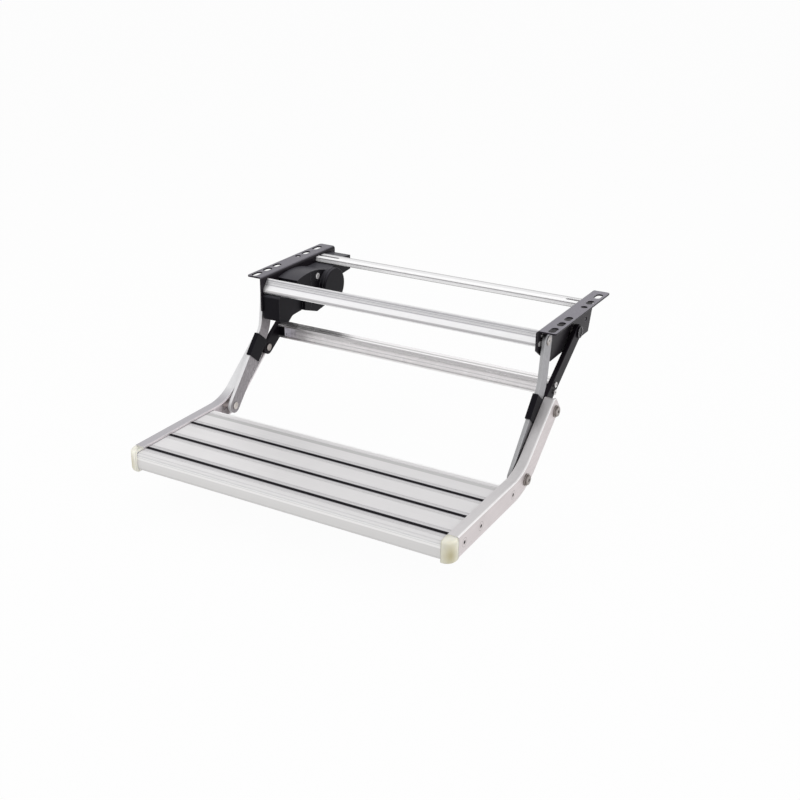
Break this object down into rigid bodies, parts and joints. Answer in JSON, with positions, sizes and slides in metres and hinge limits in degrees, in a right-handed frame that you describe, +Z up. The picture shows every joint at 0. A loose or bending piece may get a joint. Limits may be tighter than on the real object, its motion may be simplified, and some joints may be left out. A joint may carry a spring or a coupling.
{
  "type": "folding entry step",
  "caption": "Electric entry step: ribbed aluminium tread between bent side channels, folding on paired arms under two black mounting brackets with a motor drive.",
  "frame": {"origin": "midway between the two round mounting holes, on the top faces of the flanges", "axes": "+X across the step to the right seen from in front, +Y back under the vehicle, +Z up"},
  "size_m": [0.56, 0.5388, 0.224],
  "materials": {
    "anodised_aluminium": "satin anodised, drawn along its length",
    "black_steel": "black powder coat, fine texture",
    "black_plastic": "moulded, fine grain",
    "grip_rubber": "matt, ribbed",
    "cap_plastic": "cream, slightly translucent",
    "motor_steel": "plain",
    "plated_steel": "nickel plated"
  },
  "bodies": {
    "chassis": {"left_bracket": "black_steel", "right_bracket": "black_steel", "left_front_stud": "plated_steel", "right_front_stud": "plated_steel", "left_front_washer": "plated_steel", "right_front_washer": "plated_steel", "left_rear_washer": "plated_steel", "right_rear_washer": "plated_steel", "left_bar_screws": "plated_steel", "right_bar_screws": "plated_steel", "front_bar": "anodised_aluminium", "rear_bar": "anodised_aluminium", "drive_cover": "black_plastic", "drive_motor": "motor_steel", "cover_screw": "plated_steel", "right_rear_bolt": "plated_steel", "right_rear_nut": "plated_steel"},
    "rear_arms": {"left_rear_arm": "black_steel", "right_rear_arm": "black_steel", "left_link_plug": "black_plastic", "right_link_plug": "black_plastic", "left_link_screws": "plated_steel", "right_link_screws": "plated_steel", "link_bar": "anodised_aluminium", "drive_shaft": "plated_steel"},
    "tread": {"tread_panel": "anodised_aluminium", "grip_strip_1": "grip_rubber", "grip_strip_2": "grip_rubber", "grip_strip_3": "grip_rubber", "left_cheek": "anodised_aluminium", "right_cheek": "anodised_aluminium", "left_end_cap": "cap_plastic", "right_end_cap": "cap_plastic", "left_cheek_bolt": "plated_steel", "right_cheek_bolt": "plated_steel", "left_front_spacer": "plated_steel", "right_front_spacer": "plated_steel", "left_tread_bolt": "plated_steel", "right_tread_bolt": "plated_steel", "left_tread_spacer": "plated_steel", "right_tread_spacer": "plated_steel", "left_panel_screws": "plated_steel", "right_panel_screws": "plated_steel"},
    "left_front_link": {"left_front_arm": "anodised_aluminium", "left_arm_sleeve": "black_plastic", "left_arm_pin": "plated_steel"},
    "right_front_link": {"right_front_arm": "anodised_aluminium", "right_arm_sleeve": "black_plastic", "right_arm_pin": "plated_steel"}
  },
  "joints": [
    {"name": "step_fold", "type": "hinge", "parent": "chassis", "child": "rear_arms", "pos_m": [0, 0.0071, -0.0446], "axis": [1, 0, 0], "range_deg": [0, 136.61]},
    {"name": "tread_level", "type": "hinge", "parent": "rear_arms", "child": "tread", "pos_m": [0, -0.1167, -0.1286], "axis": [1, 0, 0], "range_deg": [-136.65, 0]},
    {"name": "left_front_arm_fold", "type": "hinge", "parent": "chassis", "child": "left_front_link", "pos_m": [0, -0.1132, -0.0206], "axis": [1, 0, 0], "range_deg": [0, 85]},
    {"name": "right_front_arm_fold", "type": "hinge", "parent": "chassis", "child": "right_front_link", "pos_m": [0, -0.1132, -0.0206], "axis": [1, 0, 0], "range_deg": [0, 85]}
  ],
  "couplings": [
    {"joint": "tread_level", "follows": "step_fold", "ratio": -1},
    {"joint": "left_front_arm_fold", "follows": "step_fold", "ratio": 0.61974},
    {"joint": "right_front_arm_fold", "follows": "step_fold", "ratio": 0.61974}
  ]
}
